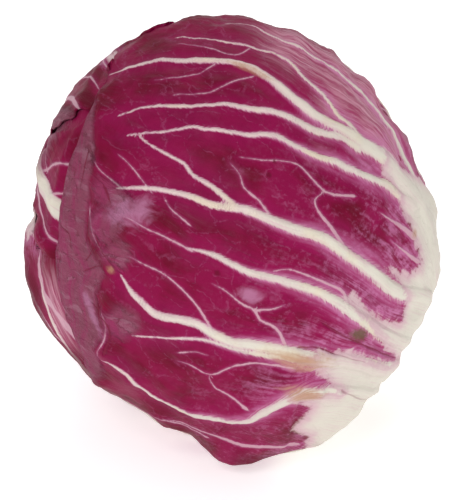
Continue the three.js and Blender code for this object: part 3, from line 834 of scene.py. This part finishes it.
# Where the camera sees ribs, veins, folds and edges: the pixels [across, down] along each.
seenPaths = {
    "topRib": [
        [425, 212], [408, 188], [390, 165], [366, 144], [343, 128], [319, 115], [296, 99], [272, 80],
        [249, 67], [225, 62], [190, 59], [165, 61], [150, 62], [128, 68], [110, 73],
    ],
    "topFork": [
        [366, 148], [357, 145], [338, 136], [319, 129], [296, 120], [272, 112], [248, 107],
        [225, 104], [191, 105], [166, 104], [140, 108], [118, 113],
    ],
    "secondFork": [
        [400, 195], [385, 184], [366, 175], [343, 165], [319, 156], [296, 144], [272, 135],
        [249, 132], [225, 131], [205, 130], [190, 128], [160, 131], [128, 135],
    ],
    "innerEdgeRib": [
        [366, 140], [350, 122], [340, 113], [324, 94], [307, 78], [293, 64], [279, 53], [253, 44],
        [225, 39], [200, 36], [175, 35],
    ],
    "outerEdgeRib": [[423, 200], [413, 172], [404, 150], [390, 127]],
    "outerEdgeRibTip": [[352, 82], [336, 68], [319, 58], [300, 48], [282, 39], [256, 26], [225, 20]],
    "middleRib": [
        [395, 290], [375, 272], [338, 246], [319, 237], [296, 229], [272, 220], [248, 209],
        [233, 207], [212, 203], [188, 197], [165, 190], [141, 187], [115, 186],
    ],
    "middleRibBranch": [
        [236, 208], [212, 186], [193, 174], [184, 162], [165, 154], [148, 144], [139, 134],
    ],
    "lowerRib": [
        [387, 336], [366, 320], [346, 308], [325, 297], [304, 288], [278, 279], [252, 272],
        [226, 263], [212, 256], [188, 247],
    ],
    "footRib": [
        [356, 362], [330, 362], [304, 358], [278, 351], [252, 345], [233, 343], [212, 334],
        [195, 325], [174, 318], [155, 314], [141, 302], [127, 289], [118, 275],
    ],
    "footRibBranch": [[262, 354], [233, 350], [212, 344], [188, 341], [160, 340], [132, 338]],
    "foldRib": [
        [267, 409], [247, 416], [226, 418], [200, 414], [185, 409], [170, 403], [151, 394],
        [134, 378], [118, 366], [104, 359],
    ],
    "lowerRibTip": [[165, 237], [146, 228], [129, 218], [113, 212]],
    "footRibVein": [[200, 310], [184, 294], [165, 277], [146, 265], [127, 255]],
    "netVein": [[257, 365], [231, 367], [210, 374], [195, 366], [178, 362]],
    "netVeinBelow": [[247, 408], [229, 396], [215, 388], [210, 375]],
    "panelVein": [[278, 331], [262, 320], [256, 311], [241, 303], [226, 292], [212, 284]],
    "panelVeinFork": [[256, 311], [270, 310], [284, 306]],
    "islandVein": [[345, 294], [330, 286], [309, 274], [288, 270], [272, 272]],
    "upperPanelVein": [[354, 195], [326, 191], [303, 169], [285, 163], [262, 160], [239, 157]],
    "joiningVein": [[348, 250], [340, 240], [331, 226], [320, 212], [314, 200], [326, 191]],
    "rightVein": [[400, 226], [380, 212]],
    "rightVeinBelow": [[418, 262], [405, 252], [392, 240]],
    "middleRibVein": [[258, 200], [245, 188], [238, 175], [231, 163]],
    "innerEdgeBranch": [[215, 49], [195, 45], [178, 43]],
    "tipVein": [[190, 225], [180, 215], [170, 208], [166, 198]],
    "tipVeinAbove": [[150, 190], [140, 178], [128, 165], [118, 155]],
    "flapVein": [[282, 447], [262, 446], [240, 443]],
    "shortVein": [[177, 353], [195, 354], [209, 356]],
    "bandEdgeVein": [[92, 222], [97, 236], [103, 248], [108, 260]],
    "bandEdgeVeinBelow": [[108, 325], [106, 340], [102, 350], [101, 358]],
    "footFoldAbove": [[326, 323], [345, 338], [370, 349], [397, 358]],
    "footFold": [[299, 346], [319, 350], [342, 358], [366, 361]],
    "footFoldBelow": [[342, 389], [351, 394], [362, 401], [376, 404]],
    "bandTear": [[97, 235], [103, 250], [108, 258], [113, 266]],
    "bandWrinkle1": [[104, 185], [107, 196], [111, 204]],
    "bandWrinkle2": [[85, 262], [97, 250], [100, 247]],
    "bandWrinkle3": [[60, 225], [70, 235], [72, 250]],
    "bandWrinkle4": [[90, 222], [88, 232], [86, 245]],
    "bandWrinkle5": [[84, 270], [95, 268], [104, 265]],
    "bandWrinkle6": [[88, 150], [84, 172], [82, 190]],
    "bandWrinkle7": [[108, 352], [112, 335], [107, 320], [100, 312], [104, 305]],
    "bandWrinkle8": [[100, 310], [90, 302]],
    "bandWrinkle9": [[60, 255], [58, 268], [60, 280]],
    "foldCrease": [[310, 398], [290, 400]],
    "bandBelow": [[112, 340], [108, 320], [105, 300], [112, 280]],
    "bandAbove": [[100, 250], [95, 230], [97, 200], [100, 180], [103, 150], [104, 120], [103, 95]],
    "paleTop": [[392, 155], [385, 148]],
    "paleNotch": [[388, 178]],
    "paleEdge": [
        [410, 225], [417, 245], [421, 264], [410, 273], [395, 266], [385, 268], [398, 280],
        [406, 300], [404, 322], [385, 322], [368, 312], [354, 292], [346, 298], [365, 322],
        [383, 345], [399, 360], [380, 360], [355, 353], [320, 350], [300, 362], [322, 376],
        [342, 393], [322, 392], [300, 389], [285, 398], [312, 409],
    ],
    "flapEdge": [[292, 432], [285, 450]],
    "backVein": [[80, 77], [90, 76], [97, 86]],
    "backRib": [[66, 97]],
    "backRibTip": [[75, 102]],
    "curlVein": [[45, 167], [55, 165], [63, 163], [73, 161]],
    "curlVeinBelow": [[55, 193], [62, 190], [68, 180]],
    "curlEdgeVein": [[36, 180], [38, 199], [45, 225], [52, 240], [60, 255]],
}

frontLeaf = {
    "name": "frontLeaf",
    "node": "front_leaf",
    "slot": "outer_leaf",
    "seed": 11,
    "faces": [92, 0],
    "grid": [230, 180],
    "outline": [
        [-77, -15, 34], [-69, -24, 42], [-62, -34, 47], [-56, -46, 51], [-50, -60, 56], [-42, -68, 61],
        [-24, -72, 71], [0, -75, 82], [12, -75, 86], [21, -68, 87], [38, -58, 84], [53, -43, 78],
        [60, -26, 73], [65, -9, 68], [70, 1, 62], [77, 10, 52], [84, 19, 38],
    ],
    # path, width at the foot and at the tip, height
    "ribs": [
        ([[-65, 31], [-48, 40], "topRib"], (7.6, 0.6), 1.4),
        ([[-14, 48], "topFork"], (3.4, 0.2), 0.8),
        ([[-32, 44], "secondFork"], (3.4, 0.1), 0.8),
        ([[-12, 50], "innerEdgeRib"], (1.6, 0.1), 0.4),
        ([[-50, 46], "outerEdgeRib", [-3, 68], "outerEdgeRibTip"], (4, 0.1), 0.6),
        ([[-66, 28], [-50, 22], "middleRib"], (6.4, 0.5), 1.2),
        ([[6, 9], "middleRibBranch"], (2, 0.1), 0.5),
        ([[-69, 10], "lowerRib"], (6, 0.8), 0.9),
        ([[-70, 1], [-55, -3], "footRib"], (6.6, 1.3), 1.2),
        ([[-24, -15], "footRibBranch"], (1.8, 0.1), 0.5),
        ([[-69, -10], [-52, -12], [-42, -15], [-34, -20], [-32, -25], "foldRib"], (4, 0.8), 1.2),
    ],
    "veins": [
        ([[43, -11], [50, -11], [54, -10]], (0.4, 0.1)),
        ([[16, -11], "lowerRibTip"], (0.7, 0.15)),
        ([[-2, -24], "footRibVein"], (0.9, 0.2)),
        ([[-26, -17], "netVein"], (0.7, 0.25)),
        (["netVeinBelow"], (0.9, 0.4)),
        ([[-20, -14], "panelVein"], (1.1, 0.2)),
        (["panelVeinFork"], (0.5, 0.3)),
        ([[-27, 5], "islandVein"], (1.1, 0.3)),
        (["upperPanelVein"], (0.8, 0.25)),
        (["joiningVein"], (1.6, 0.4)),
        ([[-36, 35], "rightVein"], (2.4, 0.5)),
        (["rightVeinBelow"], (1.6, 0.3)),
        ([[7, 10], "middleRibVein"], (0.6, 0.2)),
        ([[45, 37], [49, 29], [53, 24], [57, 21]], (0.4, 0.1)),
        ([[34, 40], [36, 36], [39, 31], [42, 26], [48, 20]], (0.4, 0.1)),
        ([[41, 49], [43, 43], "innerEdgeBranch"], (0.4, 0.1)),
        (["tipVein"], (0.4, 0.1)),
        (["tipVeinAbove"], (0.4, 0.1)),
        ([[-52, -38], "flapVein", [-33, -54], [-27, -59], [-18, -66]], (2, 0.4)),
        (["shortVein"], (0.5, 0.2)),
        ([[-32, -58], [-26, -62], [-14, -69]], (0.8, 0.4)),
        ([[47, -22], "bandEdgeVein"], (0.6, 0.2)),
        ([[23, -45], "bandEdgeVeinBelow"], (0.5, 0.4)),
    ],
    "folds": [
        (["footFoldAbove"], (0.4, 0.3)),
        (["footFold"], (0.4, 0.2)),
        (["footFoldBelow"], (0.5, 0.3)),
        (["bandTear"], (0.4, 0.3)),
        (["bandWrinkle1"], (0.7, 0.3)),
        (["bandWrinkle2"], (0.4, 0.2)),
        (["bandWrinkle3"], (0.4, 0.3)),
        (["bandWrinkle4"], (0.4, 0.3)),
        (["bandWrinkle5"], (0.4, 0.2)),
        (["bandWrinkle6"], (0.4, 0.3)),
        (["bandWrinkle7"], (0.5, 0.4)),
        (["bandWrinkle8"], (0.4, 0.3)),
        (["bandWrinkle9"], (0.4, 0.3)),
    ],
    "creases": [
        ([[14, -57], [21, -47], [29, -34], [41, -28], [52, -10], [61, 1], [68, 7]], 3, 1.0),
        (["foldCrease", [-29, -38], [-21, -50], [-6, -58], [15, -58]], 5, 1.0),
    ],
    "curls": [[-50, -58, 13, 9, 4], [27, -64, 13, 6, 0.9], [31, 66, 4, 5, 1.3]],
    "wave": [1.6, 0.4],
    "calmFrom": 12,
    # the band of waxy bloom and painted grazing reflection, and spots of the same
    "dullBeyond": [[8, -62], [14, -57], "bandBelow", [31, -31], "bandAbove", [76, 13]],
    "dullSpots": [
        [17, -43, 6, 7, 0], [44, -15, 7, 4, 0], [31, -27, 5, 5, 0], [40, -23, 6, 6, 0],
    ],
    "paleAlong": [-60, 20],
    "paleSlant": 0.45,
    "paleOutline": [
        [-48, 90], [-48, 66], [-32, 58], [-21, 52], "paleTop", [-13, 45], "paleNotch", [-25, 41],
        "paleEdge", [-43, -33], [-50, -32], [-56, -37], [-60, -45], [-64, -60], [-100, -60], [-100, 90],
    ],
    # pale streaks that paint the broad highlight on the upper part of this leaf
    "dusty": [[6, 68, 26, 21, 0], [-8, 58, 18, 10, 0], [28, 63, 16, 12, 0]],
    "crisp": [[-42, -31, 10, 9, 0]],
    "steps": [([[-35, -24], [-39, -29], "flapEdge"], 1.2, 0.9)],
    # painted highlights where the lamps glare on the blade
    "sheen": [
        [37, -15, 5, 10, -40], [-3, -10, 4, 2.2, 20], [27, -48, 12, 2, -20],
    ],
    "tan": [
        [-26, -14.5, 12, 3.4, 26], [-34, -21, 7, 3, 28], [30, -32, 1.6, 1.2, 0],
        [-36, 36, 1.6, 2, 0], [36, 41, 9, 1.3, 15],
    ],
    "olive": [[-37, 1, 4.4, 2.2, 20]],
    # small dark spots, and painted shade on the lower part of the flap
    "wine": [
        [7, -11, 1.3, 1.1, 0], [13, 18, 1.1, 1.1, 0], [14, 22, 0.9, 0.9, 0],
        [-52, -54, 14, 7, 0],
    ],
}

lowLeaf = {
    "name": "lowLeaf",
    "node": "low_leaf",
    "slot": "outer_leaf",
    "seed": 23,
    "faces": [92, 105],
    "grid": [120, 130],
    "outline": [
        [-77, -14, 20], [-60, -34, 40], [-41, -50, 52], [-20, -60, 56], [0, -66, 56], [20, -64, 50],
        [36, -55, 38], [47, -40, 28], [54, -20, 14],
    ],
    "sideRibs": 3,
    "curls": [[36, 7, 15, 9, 3.4]],
    "rolled": 1,
    "wave": [2, 2],
    "calmFrom": 38,
    "paleAlong": [-60, 0],
    "tipVeins": [([[2, 31], [10, 29], [18, 29], [26, 25], [33, 18], [40, 18], [46, 22]], (3, 1.6))],
    "paleSpots": [[51, 7, 6, 11, 0]],
    "dusty": [[28, 24, 12, 5, 0], [10, 30, 12, 4, 0]],
    "wine": [[30, 9, 18, 8, 0], [5, 20, 16, 8, 0], [-12, 28, 14, 9, 0]],
}

backLeaf = {
    "name": "backLeaf",
    "node": "back_leaf",
    "slot": "outer_leaf",
    "seed": 37,
    "faces": [92, 178],
    "grid": [130, 160],
    "outline": [
        [-77, -18, 16], [-60, -36, 36], [-40, -54, 52], [-20, -64, 58], [0, -68, 60], [20, -66, 58],
        [40, -58, 50], [60, -46, 32], [75, -34, 15], [88, -27, 13], [98, -18, 8],
    ],
    "sideRibs": 3,
    "ribsTo": 66,
    "tipVeins": [
        ([[66, -9], "backVein"], (1.2, 0.6)),
        ([[66, 1], "backRib", [85, 0], "backRibTip", [98, 3]], (2.2, 2)),
        ([[70, -19], [80, -18], [88, -19]], (1, 0.4)),
    ],
    "curls": [[66, 22, 12, 7, 2]],
    "wave": [2.2, 1],
    "calmFrom": 60,
    "paleAlong": [-60, 0],
    "paleSpots": [[80, -22, 7, 3.5, 0]],
    "dullSpots": [[86, 10, 16, 6, 0], [70, 12, 8, 10, 0]],
    "wine": [[96, -4, 8, 4, 0]],
}

topLeaf = {
    "name": "topLeaf",
    "node": "top_leaf",
    "slot": "outer_leaf",
    "seed": 41,
    "faces": [92, -115],
    "grid": [130, 140],
    "outline": [
        [-77, -18, 18], [-60, -38, 38], [-40, -54, 54], [-20, -64, 62], [0, -68, 64], [20, -66, 62],
        [40, -58, 54], [60, -42, 40], [74, -24, 22], [80, -10, 9],
    ],
    "sideRibs": 3,
    "wave": [2, 3],
    "paleAlong": [-60, 0],
}

innerSideLeaf = {
    "name": "innerSideLeaf",
    "node": "inner_side_leaf",
    "slot": "inner_leaf",
    "seed": 53,
    "faces": [150, 62],
    "turn": 41,
    "grid": [110, 120],
    "outline": [[-38, -16, 18], [-24, -24, 26], [-6, -27, 30], [12, -24, 28], [24, -17, 20], [32, -8, 9]],
    "ribs": [([[-24, -1], [-8, 0], [-1, 0], [6, 0], [12, 0], [17, 1], [24, 3]], (6.5, 4.6), 1.3)],
    "veins": [
        ([[11, 1], "curlVein", [-9, 17]], (1, 0.3)),
        ([[0, 1], "curlVeinBelow", [-9, 14]], (0.8, 0.3)),
        ([[22, -7], "curlEdgeVein"], (1.4, 0.5)),
        ([[7, 4], [12, 6], [16, 9]], (0.5, 0.2)),
    ],
    "dullSpots": [[17, 8, 9, 11, 0]],
    "swell": [[-1, -12, 8, 4, 3.5]],
    "wave": [0.8, 0],
    "rise": 3,
    "paleAlong": [-40, -10],
}

leaves = [frontLeaf, lowLeaf, backLeaf, topLeaf, innerSideLeaf]

heart = {
    "clearance": 1,
    "stemRadius": 11.3,  # degrees, from the middle of the head
    "stemRecess": 1,
    "fold": 0.7,
    "folds": 5,
    "rings": 96,
    "sectors": 144,
    "grain": [0.15, 60, 5],  # of the cut: height, scale and length
}


def heartFinish():
    f = Finish("heart skin")
    turn, fromStem, cut = f.attribute("place")
    long = f.noise(f.vector(turn * 30, fromStem * 2, 0.0), 1, 3, 0.55)
    speck = f.noise(f.vector(turn * 60, fromStem * 40, 4.0), 1, 3, 0.6)
    blotch = f.noise(f.vector(turn * 5, fromStem * 1.5, 7.0), 1, 3, 0.5)
    red = f.ramp(fromStem * 0.5 + blotch, 0.75, 1.25)
    colour = f.blend(f.ramp(long, 0.35, 0.65), tones["cream"], tones["blush"])
    colour = f.blend(red * f.ramp(long, 0.3, 0.6), colour, tones["magenta"])
    fibres = f.noise(f.vector(turn * 14, cut * 6, 1.0), 1, 3, 0.7)
    browned = f.blend(f.ramp(fibres, 0.3, 0.75), rgb(196, 170, 128), rgb(134, 98, 60))
    browned = f.blend(f.ramp(cut, 0.55, 0.95) * 0.7, browned, rgb(104, 70, 42))
    isCut = f.ramp(cut, 1.02, 0.98)
    colour = f.blend(isCut, colour, browned)
    height = (long - 0.5) * 0.3 + speck * 0.2 + isCut * fibres * 0.6
    return f.finish(height, skin["bump"], Base_Color=colour, Roughness=0.45 + isCut * 0.3)


def makeHeart():
    bm = bmesh.new()
    bmesh.ops.create_uvsphere(bm, u_segments=heart["sectors"], v_segments=heart["rings"], radius=1)
    ball = np.array([vert.co[:] for vert in bm.verts])
    way = ball @ np.array([stemFront, stemSide, stem])  # the ball's pole points along the stem
    fromStem, roundStem = stemAngles(way)
    depth, covered = pressed(leaves, way)
    turns = roundStem / math.tau * heart["folds"] + fromStem
    fold = heart["fold"] * (1 - covered) * (turns - np.floor(turns))
    radius = headRadius(way) - depth - heart["clearance"] - fold
    stemRadius = math.radians(heart["stemRadius"])
    cutPlane = headRadius(stem[None])[0] - heart["stemRecess"]
    height, scale, length = heart["grain"]
    cut = cutPlane / np.cos(np.minimum(fromStem, 1)) + height * ripples(way * scale, length, 3)
    radius = np.where(fromStem < stemRadius, cut, radius)
    points = way * radius[:, None] + [0, 0, head["centreHeight"]]
    for vert, point in zip(bm.verts, points * millimetre):
        vert.co = point
    piece = meshFrom("heartAndStem", bm)
    setVectors(piece.data, "place", [roundStem, fromStem, fromStem / stemRadius])
    piece.data.materials.append(heartFinish())
    dress(piece, "heart_and_stem")
    print("heart made")


# Camera, light and floor.


def aimed(thing, position, target):
    thing.location = position * millimetre
    back = unit(position - target)
    across = unit(np.cross([0, 0, 1], back))
    up = np.cross(back, across)
    turn = [[across[i], up[i], back[i]] for i in range(3)]
    thing.rotation_euler = Matrix(turn).to_euler()


def makeCamera():
    data = bpy.data.cameras.new("camera")
    camera = bpy.data.objects.new("camera", data)
    bpy.context.scene.collection.objects.link(camera)
    middle = np.array([0, 0, head["centreHeight"]])
    target = middle + view["aim"][0] * faceRight + view["aim"][1] * faceUp
    aimed(camera, target + view["distance"] * faceOut, target)
    data.sensor_width = view["sensor"]
    data.lens = view["sensor"] * view["distance"] / view["field"]
    data.clip_start, data.clip_end = 0.05, 20
    bpy.context.scene.camera = camera


studio = {
    # name, place, size of the panel, and watts
    "lights": [
        ("key light", [-450, -900, 900], 700, 6.2),
        ("fill light", [900, -700, 500], 800, 2.6),
        ("back light", [200, 900, 900], 900, 3.0),
    ],
    "sky": 0.55,
    "floorSize": 6,
    "floorTone": rgb(250, 250, 250),
    "floorGlow": 0.4,
}


def makeStudio():
    middle = np.array([0, 0, head["centreHeight"]])
    for name, place, size, watts in studio["lights"]:
        data = bpy.data.lights.new(name, "AREA")
        data.size, data.energy = size * millimetre, watts
        light = bpy.data.objects.new(name, data)
        bpy.context.scene.collection.objects.link(light)
        aimed(light, np.array(place, float), middle)
    world = bpy.data.worlds.new("sky")
    world.use_nodes = True
    background = world.node_tree.nodes["Background"]
    background.inputs["Color"].default_value = (1, 1, 1, 1)
    background.inputs["Strength"].default_value = studio["sky"]
    bpy.context.scene.world = world
    bpy.context.scene.view_settings.view_transform = "Standard"

    bm = bmesh.new()
    bmesh.ops.create_grid(bm, x_segments=1, y_segments=1, size=studio["floorSize"] / 2)
    floor = meshFrom("floor", bm)
    f = Finish("floor paper")
    grain = f.noise(f.add("TexCoord", output=3), 400, 2)
    tone = f.blend(grain * 0.02, studio["floorTone"], rgb(235, 235, 235))
    glow = {"Emission_Color": (1, 1, 1, 1), "Emission_Strength": studio["floorGlow"]}
    floor.data.materials.append(f.finish(Base_Color=tone, Roughness=0.9, **glow))
    print("studio made")


makeCamera()
makeStudio()
for leaf in leaves:
    prepareLeaf(leaf)
for number, leaf in enumerate(leaves):
    makeLeaf(leaf, leaves[:number])
makeHeart()
